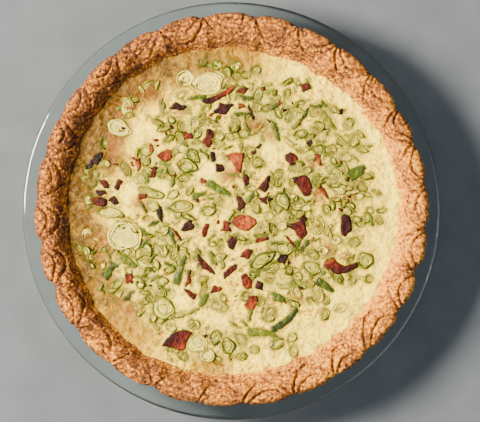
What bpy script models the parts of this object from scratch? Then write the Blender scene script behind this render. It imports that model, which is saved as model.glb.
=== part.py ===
"""An uncut quiche baked in a clear glass pie dish. Metres, +Z up, origin at the centre of the dish's foot.

The dish is a turned shape with a flat flange. The pastry is one solid that lines it, floor and wall, and
ends in a thick edge that lies on the flange and is stamped all round with pairs of nested arcs. The egg
custard fills the pastry. The largest pieces of bacon, white onion slices and green strips lie on its top.
Run with: blender --background --python part.py
"""

import math
import random

import bmesh
import bpy
from mathutils import Vector
from mathutils.bvhtree import BVHTree

MM = 0.001

# Glass dish
DISH_HEIGHT = 38 * MM
FLANGE_RADIUS = 120.5 * MM
FLANGE_WIDTH = 15 * MM
GLASS = 4.5 * MM
FOOT_RADIUS = 80 * MM
HEEL_RADIUS = 89 * MM
HEEL_HEIGHT = 8 * MM
LIP = 1.5 * MM
DISH_STEPS = 72

# Pastry
GAP = 0.3 * MM
PASTRY = 4 * MM
CRUST_RADIUS = 112.4 * MM
FILL_RADIUS = 95.3 * MM
FILL_HEIGHT = 33 * MM
CREST_HEIGHT = 45 * MM
EDGE_HEIGHT = 41 * MM

# Stamped arcs round the edge, clockwise from above
FIRST_NOTCH = math.radians(83)
# How wide each stamp came out, in degrees
STAMP_WIDTHS = [13, 12.5, 13, 12.5, 11.5, 12.5, 13, 13, 12.5, 15.5, 12, 13.5, 15.5, 13, 14, 14.5, 14]
STAMP_WIDTHS += [14.5, 13.5, 13, 13.5, 12, 12, 13, 14, 14, 15]
STAMPS = len(STAMP_WIDTHS)
STEPS_PER_STAMP = 5
OUTER_ARC_DEPTH = 13.4 * MM
INNER_ARC_DEPTH = 7.4 * MM
INNER_ARC_SHARE = 0.8
ARC_POWER = 1.8
NOTCH_BAND = 2.6 * MM
NOTCH_BAND_INSIDE = 1.4 * MM
GROOVE = 1.6 * MM
SHOULDER = 0.9 * MM
BULGE = 0.9 * MM
NOTCH = 0.5 * MM
# The notches that were pressed deepest, by their number from the first, and how deep
DEEP_NOTCHES = {8: 1.7 * MM, 15: 1.3 * MM, 18: 1.7 * MM, 19: 1.6 * MM}
RIDGE = 1 * MM
CREST_SETBACK = 5 * MM
SLOPE_EASE = 1.8

# Custard
CUSTARD_STEPS = 45
DOME = 2.2 * MM
RINGS_ON_TOP = 5

# Bacon pieces, in millimetres: the place of each, then its outline from there.
BACON = [
    (-31.0, -75.5, [(-9.4, -2.6), (-6.5, 1.8), (-1.8, 5.4), (2.4, 6.7), (8.2, 5.6), (6.2, 2.4), (4.7, -0.5),
                    (4.1, -4.4), (1.2, -5.6), (-2.9, -3.1), (-6.0, -2.8)]),
    (64.2, -31.5, [(-11.1, -0.1), (-9.8, 2.5), (-4.8, 4.4), (-3.2, 2.0), (0.7, -0.4), (4.2, 0.3), (8.3, 2.0),
                   (8.9, -1.2), (5.2, -2.4), (1.3, -4.7), (-3.9, -4.7), (-8.2, -2.7)]),
    (42.3, 15.1, [(-6.7, 2.7), (-6.2, 4.5), (-2.0, 5.5), (0.8, 5.3), (2.9, 3.3), (4.8, -1.2), (4.0, -4.0),
                  (2.7, -6.0), (0.0, -7.0), (-2.7, -2.7), (-4.4, -0.5)]),
    (39.5, -10.8, [(-7.7, 2.9), (-6.9, 1.4), (-2.7, -0.4), (-2.0, -2.7), (1.0, -5.7), (3.1, -4.3), (4.1, -1.6),
                   (3.1, 3.7), (4.9, 6.2), (3.1, 8.1), (0.8, 7.1), (-1.2, 4.9), (-3.5, 3.5)]),
    (66.0, -8.3, [(-1.9, 6.5), (1.1, 6.2), (3.0, 3.9), (3.2, -3.2), (1.1, -4.6), (-0.6, -6.5), (-2.7, -5.7),
                  (-2.8, 3.9)]),
    (7.4, -6.4, [(-6.8, -0.4), (-5.8, 2.2), (-1.8, 4.3), (2.8, 3.9), (6.2, 2.2), (7.4, -0.4), (5.0, -3.6),
                 (1.6, -5.4), (-2.4, -4.7), (-5.6, -2.8)]),
    (-7.8, 64.1, [(-9.2, 0.2), (-4.0, 1.6), (0.0, 3.4), (4.0, 5.8), (8.5, 8.4), (10.6, 7.8), (6.3, 3.6),
                  (1.7, 1.0), (-2.3, -1.5), (-5.8, -2.6), (-8.2, -1.6)]),
    (-12.4, 42.8, [(-1.8, 4.3), (-0.2, 4.9), (2.1, 3.5), (2.3, 0.4), (1.5, -3.1), (0.0, -6.5), (-2.2, -5.9),
                   (-4.6, -3.5), (-4.2, -1.6), (-2.2, 0.4)]),
    (-38.5, 32.0, [(-4.8, 0.1), (-2.0, 2.2), (1.6, 3.7), (4.2, 2.6), (4.3, -1.4), (0.9, -3.9), (-2.0, -2.5)]),
    (-76.6, 5.2, [(-4.9, 0.8), (-3.4, 2.5), (1.9, 2.8), (4.4, 1.7), (4.8, -0.6), (3.5, -2.8), (-0.3, -2.4),
                  (-3.0, -1.2)]),
    (3.0, 28.5, [(-6.2, 3.6), (-2.5, 5.2), (4.2, 5.4), (3.4, -1.5), (2.0, -6.8), (0.0, -5.2), (-2.0, -0.8)]),
    (34.8, 29.8, [(-3.6, 2.6), (-1.1, 4.1), (1.6, 3.0), (3.4, 1.0), (2.8, -2.8), (0.0, -4.0), (-2.9, -1.3)]),
    (5.2, 4.3, [(-2.2, 4.0), (0.6, 4.4), (1.9, 1.6), (3.2, 0.0), (2.0, -2.8), (-0.4, -4.4), (-1.6, -3.2)]),
    (19.1, 15.8, [(0.8, 4.2), (3.0, 5.0), (3.3, 2.5), (1.8, 0.5), (2.5, -2.0), (-0.2, -5.0), (-3.2, -2.8),
                  (-0.2, 2.0)]),
    (-24.5, -8.5, [(-4.8, -2.3), (-3.4, 0.1), (-0.7, 3.2), (1.4, 3.3), (3.1, -0.4), (2.4, -1.9), (-0.7, -3.0),
                   (-3.4, -3.8)]),
    (0.2, -18.4, [(-2.9, 1.1), (-0.3, 4.0), (2.9, 3.7), (2.6, -1.0), (0.4, -4.2), (-1.8, -3.5)]),
    (-1.4, -35.0, [(-3.3, -0.6), (0.4, 2.3), (3.5, 4.9), (5.1, 3.7), (4.5, 1.3), (1.2, -1.2), (-1.6, -3.4),
                   (-3.2, -4.6)]),
    (8.8, -40.8, [(-3.2, 3.4), (-0.3, 4.8), (3.3, 1.2), (2.6, -3.8), (-0.3, -4.6), (-2.5, -2.4)]),
    (11.2, -53.0, [(-3.6, -1.0), (-1.0, 3.6), (3.0, 4.0), (3.9, 0.5), (1.5, -4.2), (-2.5, -3.8)]),
    (-23.3, -48.2, [(-4.3, 3.5), (-1.6, 3.1), (0.8, 1.2), (3.5, 0.4), (2.4, -2.0), (1.2, -3.5), (-1.2, -1.4),
                    (-3.3, 1.0)]),
]
BACON_THICKNESS = 2.2 * MM
BACON_SHOULDER = 0.6 * MM

# Green strips, in millimetres and degrees: x, y, length, width, turn, taper, bend.
# The turn is anticlockwise from +X. Taper narrows the far end, and bend curls the piece to its left.
GREENS = [
    (-7.0, 12.5, 15.0, 3.6, -28, 0.3, 10),
    (-29.5, -33.0, 19.0, 3.4, 72, 0.4, -12),
    (31.5, -63.5, 19.5, 3.4, 40, 0.2, 35),
    (17.0, -70.5, 15.0, 4.0, -6, 0.2, -10),
    (54.0, -43.0, 11.5, 4.0, -35, 0.5, -20),
    (72.5, 22.5, 11.0, 5.6, 32, 0.4, 15),
    (-59.5, -29.5, 10.5, 4.0, -35, 0.2, 20),
    (-71.0, -35.0, 9.5, 4.4, 50, 0.3, 0),
]
GREEN_THICKNESS = 1.2 * MM

# Slices of spring onion and leek, in millimetres and degrees: x, y, length, width, turn.
SLICES = [
    (-14.0, 73.5, 19.0, 13.0, 10),
    (-65.0, 48.0, 15.0, 9.5, -25),
    (-39.5, -56.0, 14.0, 12.5, -40),
    (-61.5, -14.5, 20.0, 18.5, 0),
    (-29.5, 2.5, 15.5, 7.5, 5),
    (-46.5, 10.5, 15.5, 5.8, -18),
    (29.5, 6.0, 11.5, 8.0, -60),
    (18.0, -28.0, 17.0, 7.6, 32),
    (46.5, -33.0, 11.5, 7.6, -25),
    (-2.0, -78.0, 10.5, 8.0, -70),
    (-25.5, 26.0, 13.0, 8.6, -15),
    (30.0, -21.5, 10.5, 7.6, -25),
    (77.5, -28.5, 9.6, 9.2, 0),
    (26.5, -76.5, 9.4, 6.4, 38),
]
SLICE_WALL = 1.5 * MM
SLICE_HEIGHT = 1.5 * MM
SLICE_STEPS = 12

rng = random.Random(27)


def clear_scene():
    for old in list(bpy.data.objects):
        bpy.data.objects.remove(old)


def new_collection(name):
    made = bpy.data.collections.new(name)
    bpy.context.scene.collection.children.link(made)
    return made


def material(name, colour, roughness, transmission=0.0):
    made = bpy.data.materials.new(name)
    made.use_nodes = True
    shader = made.node_tree.nodes["Principled BSDF"]
    shader.inputs["Base Color"].default_value = (*colour, 1.0)
    shader.inputs["Metallic"].default_value = 0.0
    shader.inputs["Roughness"].default_value = roughness
    shader.inputs["Transmission Weight"].default_value = transmission
    made.diffuse_color = (*colour, 1.0)
    return made


def add_object(name, mesh, finish, smooth_angle):
    mesh.materials.append(finish)
    mesh.shade_smooth()
    mesh.set_sharp_from_angle(angle=math.radians(smooth_angle))
    made = bpy.data.objects.new(name, mesh)
    quiche.objects.link(made)
    return made


def mesh_from(bm, name):
    bmesh.ops.recalc_face_normals(bm, faces=bm.faces)
    mesh = bpy.data.meshes.new(name)
    bm.to_mesh(mesh)
    bm.free()
    return mesh


def around(radius, height, angle):
    return Vector((radius * math.cos(angle), radius * math.sin(angle), height))


def loft(name, sections):
    """A solid through open sections set round Z in a ring, each joined to the axis at both its ends."""
    bm = bmesh.new()
    rings = [[bm.verts.new(point) for point in section] for section in sections]
    first_pole = bm.verts.new((0, 0, sections[0][0].z))
    last_pole = bm.verts.new((0, 0, sections[0][-1].z))
    for here, there in zip(rings, rings[1:] + rings[:1]):
        for i in range(len(here) - 1):
            bm.faces.new((here[i], there[i], there[i + 1], here[i + 1]))
        bm.faces.new((first_pole, there[0], here[0]))
        bm.faces.new((last_pole, here[-1], there[-1]))
    return mesh_from(bm, name)


def arc(centre, radius, start, end, steps):
    """Points on an arc in the X-Z plane, with its angles in degrees."""
    turns = [math.radians(start + (end - start) * i / steps) for i in range(steps + 1)]
    return [(centre[0] + radius * math.cos(t), centre[1] + radius * math.sin(t)) for t in turns]


def inner_wall_radius(height):
    """Inner radius of the dish's sloped wall at a height."""
    top = FLANGE_RADIUS - FLANGE_WIDTH
    bottom = HEEL_RADIUS - GLASS
    return bottom + (top - bottom) * (height - HEEL_HEIGHT) / (DISH_HEIGHT - HEEL_HEIGHT)


def make_dish():
    """The glass dish: foot, sloped wall and flat flange with a round edge, turned about Z."""
    edge = GLASS / 2
    outer_top = inner_wall_radius(DISH_HEIGHT - GLASS) + GLASS
    profile = [(0, GLASS)]
    profile += [(FOOT_RADIUS, GLASS), (HEEL_RADIUS - GLASS, HEEL_HEIGHT)]
    profile += [(inner_wall_radius(DISH_HEIGHT - LIP), DISH_HEIGHT - LIP)]
    profile += [(FLANGE_RADIUS - FLANGE_WIDTH + LIP, DISH_HEIGHT)]
    profile += arc((FLANGE_RADIUS - edge, DISH_HEIGHT - edge), edge, 90, -90, 4)
    profile += [(outer_top + LIP, DISH_HEIGHT - GLASS), (HEEL_RADIUS, HEEL_HEIGHT - 1 * MM)]
    profile += [(FOOT_RADIUS + 2 * MM, 0), (0, 0)]

    mesh = bpy.data.meshes.new("glass_dish")
    points = [(x, 0, z) for x, z in profile]
    mesh.from_pydata(points, [(i, i + 1) for i in range(len(points) - 1)], [])
    dish = add_object("glass_dish", mesh, GLASS_FINISH, 40)
    screw = dish.modifiers.new("turn", "SCREW")
    screw.steps = DISH_STEPS
    screw.render_steps = DISH_STEPS
    screw.use_merge_vertices = True
    screw.merge_threshold = 0.00005
    return dish


def crust_angles():
    """(angle, place in its stamp from -1 to 1, depth of the nearer notch) for each section, clockwise."""
    start = FIRST_NOTCH
    for k, width in enumerate(STAMP_WIDTHS):
        for i in range(STEPS_PER_STAMP):
            share = i / STEPS_PER_STAMP
            nearer = k if share < 0.5 else (k + 1) % STAMPS
            yield start - math.radians(width) * share, 2 * share - 1, DEEP_NOTCHES.get(nearer, NOTCH)
        start -= math.radians(width)


def edge_wander(angle):
    """How far the hand-shaped edge strays from a circle."""
    return (0.5 * math.cos(angle - 1.37) + 0.3 * math.cos(3 * angle + 1.27)) * MM


def fill_wander(angle):
    return (1.3 * math.cos(3 * angle - 0.26) + math.cos(2 * angle)) * MM


def crust_top(radius, fill, edge):
    """Height of the pastry before it is stamped: steep out of the filling, then easing to a crest."""
    climb = min(1.0, (radius - fill) / (edge - CREST_SETBACK - fill))
    return FILL_HEIGHT + (CREST_HEIGHT - FILL_HEIGHT) * (1 - (1 - climb) ** SLOPE_EASE)


def crust_section(angle, place, notch):
    """Half-section of the pastry from its inner floor, over the stamped edge, to its outer floor."""
    outer_share = 1 - abs(place) ** ARC_POWER
    inner_share = max(0.0, 1 - abs(place / INNER_ARC_SHARE) ** ARC_POWER)
    corner = max(0.0, abs(place) - 0.6) / 0.4
    edge = CRUST_RADIUS + edge_wander(angle) + BULGE * outer_share - notch * corner
    outer_arc = edge - NOTCH_BAND - (OUTER_ARC_DEPTH - NOTCH_BAND) * outer_share
    inner_arc = edge - NOTCH_BAND_INSIDE - (INNER_ARC_DEPTH - NOTCH_BAND_INSIDE) * inner_share
    shoulder = SHOULDER * (0.4 + 0.6 * outer_share)
    fill = FILL_RADIUS + fill_wander(angle)
    middle = (outer_arc + inner_arc) / 2 + shoulder / 3
    end = edge - 0.5 * NOTCH_BAND_INSIDE - 0.12 * (edge - inner_arc)
    floor = GLASS + GAP
    rest = DISH_HEIGHT + GAP

    def on_top(radius, above):
        return radius, crust_top(radius, fill, edge) + above

    return [
        (FOOT_RADIUS - 2 * MM, floor + PASTRY),
        (FOOT_RADIUS + 1.5 * MM, floor + PASTRY + 1.5 * MM),
        (fill, FILL_HEIGHT),
        on_top(fill + 0.5 * (outer_arc - shoulder - fill), RIDGE * corner),
        on_top(outer_arc - shoulder, 0.2 * MM),
        on_top(outer_arc, -GROOVE),
        on_top(outer_arc + shoulder, -0.4 * MM),
        on_top(middle, 0.3 * MM),
        on_top(inner_arc, 0.2 * MM - GROOVE),
        on_top(inner_arc + shoulder * 0.6, -0.4 * MM),
        (end, CREST_HEIGHT - 1.2 * MM),
        (edge, EDGE_HEIGHT),
        (edge - 1.5 * MM, rest),
        (FLANGE_RADIUS - FLANGE_WIDTH + LIP, rest),
        (inner_wall_radius(DISH_HEIGHT - LIP) - 1.5 * GAP, rest - LIP),
        (inner_wall_radius(HEEL_HEIGHT) - 1.5 * GAP, HEEL_HEIGHT + GAP),
        (FOOT_RADIUS - 1 * MM, floor),
    ]


def make_crust():
    sections = []
    for angle, place, notch in crust_angles():
        sections.append([around(r, z, angle) for r, z in crust_section(angle, place, notch)])
    return add_object("pastry_crust", loft("pastry_crust", sections), PASTRY_FINISH, 35)


def custard_height(x, y):
    """Height of the custard's set top: a low dome with the broad swells of its baking."""
    share = math.hypot(x, y) / FILL_RADIUS
    swell = 0.35 * math.sin(x / (13 * MM) + 0.7) * math.cos(y / (17 * MM)) * (1 - share**4)
    return FILL_HEIGHT + DOME * (1 - share**2) + swell * MM


def make_custard():
    sections = []
    for k in range(CUSTARD_STEPS):
        angle = -2 * math.pi * k / CUSTARD_STEPS
        rim = FILL_RADIUS + fill_wander(angle) - 2 * GAP
        floor = GLASS + PASTRY + 2 * GAP
        side = [(FOOT_RADIUS - 3 * MM, floor), (FOOT_RADIUS + 1 * MM, floor + 1.7 * MM)]
        section = [around(r, z, angle) for r, z in side]
        section.append(around(rim, FILL_HEIGHT - 0.5 * MM, angle))
        for i in range(RINGS_ON_TOP):
            point = around(rim * (1 - i / RINGS_ON_TOP) - 0.5 * MM, 0, angle)
            point.z = custard_height(point.x, point.y)
            section.append(point)
        sections.append(section)
    return add_object("egg_custard", loft("egg_custard", sections), CUSTARD_FINISH, 30)


def lie_on(surface, point):
    """Drops a topping's point, whose z is its height above the custard, onto the custard's own facets."""
    hit = surface.ray_cast(Vector((point.x, point.y, 2 * CREST_HEIGHT)), Vector((0, 0, -1)))
    return Vector((point.x, point.y, hit[0].z + GAP + point.z))


def placed(local_x, local_y, height, x, y, turn):
    """A topping's own coordinates turned and moved to its place, with its height kept."""
    c, s = math.cos(math.radians(turn)), math.sin(math.radians(turn))
    return Vector((x * MM + c * local_x - s * local_y, y * MM + s * local_x + c * local_y, height))


def make_bacon(number, surface, x, y, outline):
    """A chopped piece of bacon: its outline drawn up to a slab with a rounded top, lying on the custard."""
    bm = bmesh.new()
    base = bm.faces.new([bm.verts.new((a * MM, b * MM, 0)) for a, b in outline])
    bmesh.ops.recalc_face_normals(bm, faces=[base])
    made = bmesh.ops.extrude_face_region(bm, geom=[base])["geom"]
    top = [g for g in made if isinstance(g, bmesh.types.BMFace)]
    for vert in top[0].verts:
        vert.co.z = 0.6 * BACON_THICKNESS
    bmesh.ops.recalc_face_normals(bm, faces=bm.faces)
    bmesh.ops.inset_region(bm, faces=top, thickness=BACON_SHOULDER, depth=0.4 * BACON_THICKNESS)
    bmesh.ops.triangulate(bm, faces=bm.faces)
    for vert in bm.verts:
        vert.co = lie_on(surface, placed(vert.co.x, vert.co.y, vert.co.z, x, y, 0))
    name = f"bacon_{number:02d}"
    add_object(name, mesh_from(bm, name), BACON_FINISH, 50)


def make_green(number, surface, x, y, length, width, turn, taper, bend):
    """A strip of leaf: a crowned slab, tapered, curled and uneven, lying on the custard."""
    bm = bmesh.new()
    bmesh.ops.create_cube(bm, size=2)
    for axis, cuts in ((0, 3), (1, 1)):
        along = [e for e in bm.edges if abs(e.verts[0].co[axis] - e.verts[1].co[axis]) > 0.1]
        bmesh.ops.subdivide_edges(bm, edges=along, cuts=cuts, use_grid_fill=True)
    curl = math.radians(bend) / 2
    for vert in bm.verts:
        a, b, c = vert.co
        half_width = width * MM / 2 * (1 - taper * a) * math.sqrt(1 - 0.4 * a * a)
        away = b * half_width * rng.uniform(0.88, 1.08)
        if abs(curl) > 1e-3:
            radius = length * MM / 2 / curl
            local_x = (radius - away) * math.sin(a * curl)
            local_y = radius - (radius - away) * math.cos(a * curl)
        else:
            local_x = a * length * MM / 2
            local_y = away
        crown = GREEN_THICKNESS * (1 - 0.25 * b * b) * rng.uniform(0.9, 1.1)
        point = placed(local_x, local_y, crown if c > 0 else 0.0, x, y, turn)
        vert.co = lie_on(surface, point)
    name = f"green_strip_{number:02d}"
    add_object(name, mesh_from(bm, name), GREEN_FINISH, 50)


def make_slice(number, surface, x, y, length, width, turn):
    """A slice of onion: a ring of four-sided section, made oval and laid on the custard."""
    bpy.ops.mesh.primitive_torus_add(
        major_segments=SLICE_STEPS, minor_segments=4, major_radius=1, minor_radius=SLICE_WALL / 2
    )
    torus = bpy.context.object
    bm = bmesh.new()
    bm.from_mesh(torus.data)
    bpy.data.objects.remove(torus)
    for vert in bm.verts:
        radius = math.hypot(vert.co.x, vert.co.y)
        c, s = vert.co.x / radius, vert.co.y / radius
        away = radius - 1 - SLICE_WALL / 2
        level = vert.co.z / SLICE_WALL + 0.5
        local_x = (length * MM / 2 + away) * c
        local_y = (width * MM / 2 + away) * s
        vert.co = lie_on(surface, placed(local_x, local_y, level * SLICE_HEIGHT, x, y, turn))
    name = f"onion_slice_{number:02d}"
    add_object(name, mesh_from(bm, name), ONION_FINISH, 50)


clear_scene()
quiche = new_collection("quiche")
GLASS_FINISH = material("clear_glass", (0.86, 0.91, 0.89), 0.03, 1.0)
PASTRY_FINISH = material("baked_pastry", (0.58, 0.32, 0.13), 0.62)
CUSTARD_FINISH = material("egg_custard", (0.85, 0.73, 0.42), 0.45)
BACON_FINISH = material("fried_bacon", (0.28, 0.06, 0.04), 0.4)
ONION_FINISH = material("onion_white", (0.62, 0.64, 0.36), 0.4)
GREEN_FINISH = material("onion_green", (0.20, 0.26, 0.05), 0.4)

make_dish()
make_crust()
custard = make_custard()
custard_top = BVHTree.FromObject(custard, bpy.context.evaluated_depsgraph_get())
for index, row in enumerate(BACON, 1):
    make_bacon(index, custard_top, *row)
for index, row in enumerate(GREENS, 1):
    make_green(index, custard_top, *row)
for index, row in enumerate(SLICES, 1):
    make_slice(index, custard_top, *row)
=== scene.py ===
"""The looks of a whole quiche in its clear glass pie dish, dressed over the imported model.

Metres, +Z up, with the origin at the middle of the dish's foot. The dish, the pastry and the custard are
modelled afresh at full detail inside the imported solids' box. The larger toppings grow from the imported
pieces, and smaller ones of the same kinds are laid between them.
"""

import math
import random

import bmesh
import bpy
import numpy as np
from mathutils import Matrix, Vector, kdtree, noise


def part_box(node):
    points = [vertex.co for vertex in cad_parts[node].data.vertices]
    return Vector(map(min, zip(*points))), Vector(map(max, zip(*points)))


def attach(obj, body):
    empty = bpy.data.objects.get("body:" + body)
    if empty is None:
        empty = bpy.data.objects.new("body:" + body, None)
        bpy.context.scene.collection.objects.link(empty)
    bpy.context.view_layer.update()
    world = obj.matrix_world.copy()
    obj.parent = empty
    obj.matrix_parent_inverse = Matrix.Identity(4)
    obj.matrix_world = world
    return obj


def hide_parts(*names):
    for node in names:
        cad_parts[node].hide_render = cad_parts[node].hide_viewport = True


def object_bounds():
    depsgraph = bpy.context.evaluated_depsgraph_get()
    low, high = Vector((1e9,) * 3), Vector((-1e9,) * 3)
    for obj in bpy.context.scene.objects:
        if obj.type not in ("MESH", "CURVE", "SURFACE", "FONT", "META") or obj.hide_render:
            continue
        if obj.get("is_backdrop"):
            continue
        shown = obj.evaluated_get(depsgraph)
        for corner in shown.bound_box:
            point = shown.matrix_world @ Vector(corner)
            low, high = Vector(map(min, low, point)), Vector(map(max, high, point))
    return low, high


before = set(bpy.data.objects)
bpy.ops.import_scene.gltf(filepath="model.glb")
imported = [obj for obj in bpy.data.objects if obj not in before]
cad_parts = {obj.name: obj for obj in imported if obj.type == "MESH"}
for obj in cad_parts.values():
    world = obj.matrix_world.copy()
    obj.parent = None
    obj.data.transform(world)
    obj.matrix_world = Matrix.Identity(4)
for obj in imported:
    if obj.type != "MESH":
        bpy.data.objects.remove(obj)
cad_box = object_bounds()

MM = 0.001
# Points nearer than this are one.
WELD = 0.002 * MM

# The dish
DISH_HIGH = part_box("glass_dish")[1]
FLANGE_RADIUS = DISH_HIGH.x
DISH_HEIGHT = DISH_HIGH.z
FLANGE_WIDTH = 15 * MM
GLASS = 4.5 * MM
FOOT_RADIUS = 80 * MM
HEEL_RADIUS = 89 * MM
HEEL_HEIGHT = 8 * MM
LIP = 1.5 * MM

# The pastry
CREST_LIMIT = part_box("pastry_crust")[1].z
# Room over the crest for the ridges that the stamps push up
STAMP_ROOM = 1.7 * MM
CREST = CREST_LIMIT - STAMP_ROOM
CREST_SETBACK = 5 * MM
CRUST_RADIUS = 112.4 * MM
ROLL = 3.4 * MM
PASTRY = 4 * MM
INTO_GLASS = 0.15 * MM
CRUST_COLUMNS = 1440
TOP_ROWS = 46
ROLL_ROWS = 12

# The stamp that marks the pastry's edge: a spoon's tip, pressed twice at each place
FIRST_NOTCH = math.radians(7)
# How wide each stamp came out, in degrees, clockwise from above
STAMP_WIDTHS = [13, 12.5, 13, 12.5, 11.5, 12.5, 13, 13, 12.5, 15.5, 12, 13.5, 15.5, 13, 14, 14.5, 14]
STAMP_WIDTHS += [14.5, 13.5, 13, 13.5, 12, 12, 13, 14, 14, 15]
STAMPS = len(STAMP_WIDTHS)
OUTER_DEPTH = 13.4 * MM
INNER_DEPTH = 7.4 * MM
INNER_SHARE = 0.8
ARC_POWER = 2.2
OUTER_GROOVE = 1.5 * MM
INNER_GROOVE = 1.3 * MM
GROOVE_DEPTH = 1.5 * MM
# Stamps that baked out almost flat, and how much of them is left
FAINT_STAMPS = {0: 0.4, 1: 0.8, 13: 0.35, 14: 0.4, 15: 0.65, 16: 0.75, 17: 0.75, 20: 0.7, 24: 0.55, 26: 0.45}
# Notches pressed deepest, in millimetres, and how high the tallest ridges between stamps stand
DEEP_NOTCHES = {8: 1.9, 15: 1.5, 18: 1.9, 19: 1.7}
TALL_RIDGES = {0: 1.0, 13: 0.9, 14: 1.6, 15: 1.6, 16: 1.2, 17: 0.9, 23: 1.3, 24: 1.6, 25: 1.6, 26: 1.3}

# Where the pastry is painted darkest, for browning and as painted shade on the side turned from the light,
# and a second side painted a little darker, as turns clockwise from +Y
BROWNEST_AND_SHADED = math.radians(306)
SECOND_DARK_SIDE = math.radians(190)

# The custard
FILL_RADIUS = 95.3 * MM
FILL_HEIGHT = 33 * MM
DOME = 2.2 * MM
CUSTARD_CELLS = 310
# The side where it browned, with the crust's shadow painted on it, and the side painted paler as painted
# light
SHADED_BROWN_SIDE = math.radians(292)
LIT_PALE_SIDE = math.radians(100)

# How thick bacon bits and green shreds are cut
BACON_CUT = 2.2 * MM
SHRED_CUT = 1.3 * MM

# How many of each kind are scattered, and how far out in mm
RING_COUNT, RINGS_REACH = 190, 89
SLIVER_COUNT, SLIVERS_REACH = 140, 88
CRUMB_COUNT, CRUMBS_REACH = 60, 74

# The set: where both lights point, each one's place, size, watts and colour, and what the camera takes in
LIGHT_AIM = (0, 0, 0.03)
WINDOW = ((-0.945, 0.225, 0.92), 0.45, 112, "#FFF1DE")
BOUNCE = ((1.1, -0.5, 0.9), 1.6, 16, "#F2F5FF")
ROOM_COLOUR, ROOM_STRENGTH = "#E6EAF0", 0.25
VIEW_HEIGHT = 1.15
VIEW_WIDTH = 276.5 * MM
VIEW_SHIFT = 4.9 * MM
SENSOR = 36

rng = random.Random(11)


def hex_to_linear(text):
    """An sRGB hex colour as linear RGBA."""
    parts = [int(text[i : i + 2], 16) / 255 for i in (1, 3, 5)]
    return [p / 12.92 if p <= 0.04045 else ((p + 0.055) / 1.055) ** 2.4 for p in parts] + [1.0]


def smooth(value, low, high):
    t = np.clip((value - low) / (high - low), 0, 1)
    return t * t * (3 - 2 * t)


def rough(points, size, octaves=3, shift=0.0):
    """Noise of about -1 to 1 at each point, with lumps of one size."""
    away = Vector((shift, 1.7 * shift, -shift))
    return np.array([noise.fractal(Vector(p) / size + away, 0.9, 2.1, octaves) for p in points])


def blisters(points, size):
    """Small round domes packed side by side, 1 at their tops and 0 between them."""
    nearest = np.array([noise.voronoi(Vector(p) / size)[0][0] for p in points])
    return np.clip(1 - (nearest / 0.75) ** 2, 0, 1)


# ---- meshes


def read_points(mesh):
    points = np.empty(len(mesh.vertices) * 3, np.float32)
    mesh.vertices.foreach_get("co", points)
    return points.reshape(-1, 3).astype(float)


def write_points(mesh, points):
    mesh.vertices.foreach_set("co", np.asarray(points, np.float32).ravel())
    mesh.update()


def paint(mesh, name, values):
    """Keeps one number for each vertex under a name that a material reads."""
    layer = mesh.attributes.new(name, "FLOAT", "POINT")
    layer.data.foreach_set("value", np.clip(values, 0, 1).astype(np.float32))


def deselect():
    bpy.ops.object.select_all(action="DESELECT")


def apply_modifier(piece, kind, **settings):
    """Adds one modifier with its settings and applies it."""
    modifier = piece.modifiers.new(kind.lower(), kind)
    for key, value in settings.items():
        setattr(modifier, key, value)
    deselect()
    piece.select_set(True)
    bpy.context.view_layer.objects.active = piece
    bpy.ops.object.modifier_apply(modifier=modifier.name)


def weld(mesh):
    bm = bmesh.new()
    bm.from_mesh(mesh)
    bmesh.ops.remove_doubles(bm, verts=bm.verts, dist=WELD)
    bmesh.ops.recalc_face_normals(bm, faces=bm.faces)
    bm.to_mesh(mesh)
    bm.free()


def sheet(name, columns, rows):
    """A flat grid to shape: its object and each vertex's place across and along it, from 0 to 1."""
    deselect()
    bpy.ops.mesh.primitive_grid_add(x_subdivisions=columns, y_subdivisions=rows, size=1)
    piece = bpy.context.object
    piece.name = name
    piece.data.name = name
    flat = read_points(piece.data)
    return piece, flat[:, 0] + 0.5, flat[:, 1] + 0.5


def finish(piece, material, nodes=(), sharp=60):
    """Gives a piece its material and smooth shading, sets it under the root body, and hides the imported
    pieces it stands for.
    """
    piece.data.materials.clear()
    piece.data.materials.append(material)
    piece.data.shade_smooth()
    piece.data.set_sharp_from_angle(angle=math.radians(sharp))
    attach(piece, "root")
    if nodes:
        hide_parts(*nodes)
    return piece


def join(name, pieces):
    """Joins pieces into one, which takes the name."""
    deselect()
    for piece in pieces:
        piece.select_set(True)
    bpy.context.view_layer.objects.active = pieces[0]
    bpy.ops.object.join()
    pieces[0].name = name
    pieces[0].data.name = name
    return pieces[0]


# ---- materials


def add(tree, kind, inputs=None, stops=None, **settings):
    """Adds one shader node with its settings, its ramp's stops, and its inputs.

    An input is a value, a socket, or a node whose first output it takes.
    """
    made = tree.nodes.new("ShaderNode" + kind)
    for key, value in settings.items():
        setattr(made, key, value)
    if stops:
        elements = made.color_ramp.elements
        while len(elements) < len(stops):
            elements.new(0.5)
        for element, (place, colour) in zip(elements, stops):
            element.position = place
            element.color = hex_to_linear(colour)
    for key, value in (inputs or {}).items():
        if isinstance(value, bpy.types.Node):
            value = value.outputs[0]
        if isinstance(value, bpy.types.NodeSocket):
            tree.links.new(value, made.inputs[key])
        else:
            made.inputs[key].default_value = value
    return made


def give(shader, **values):
    """Sets a shader's own values by name."""
    for key, value in values.items():
        shader.inputs[key.replace("_", " ")].default_value = value


def new_material(name, **values):
    """A material with its shader's own values set, its node tree and that shader."""
    made = bpy.data.materials.new(name)
    made.use_nodes = True
    shader = made.node_tree.nodes["Principled BSDF"]
    give(shader, **values)
    return made, made.node_tree, shader


def surface(tree, shader, colour, mottle, gloss, relief, strength, depth):
    """Gives a shader its colour, a roughness that varies between two values, and its bump."""
    tree.links.new(colour, shader.inputs["Base Color"])
    varied = add(tree, "MapRange", {"Value": mottle, "To Min": gloss[0], "To Max": gloss[1]})
    tree.links.new(varied.outputs["Result"], shader.inputs["Roughness"])
    bump = add(tree, "Bump", {"Height": relief, "Strength": strength, "Distance": depth})
    tree.links.new(bump.outputs["Normal"], shader.inputs["Normal"])


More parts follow.
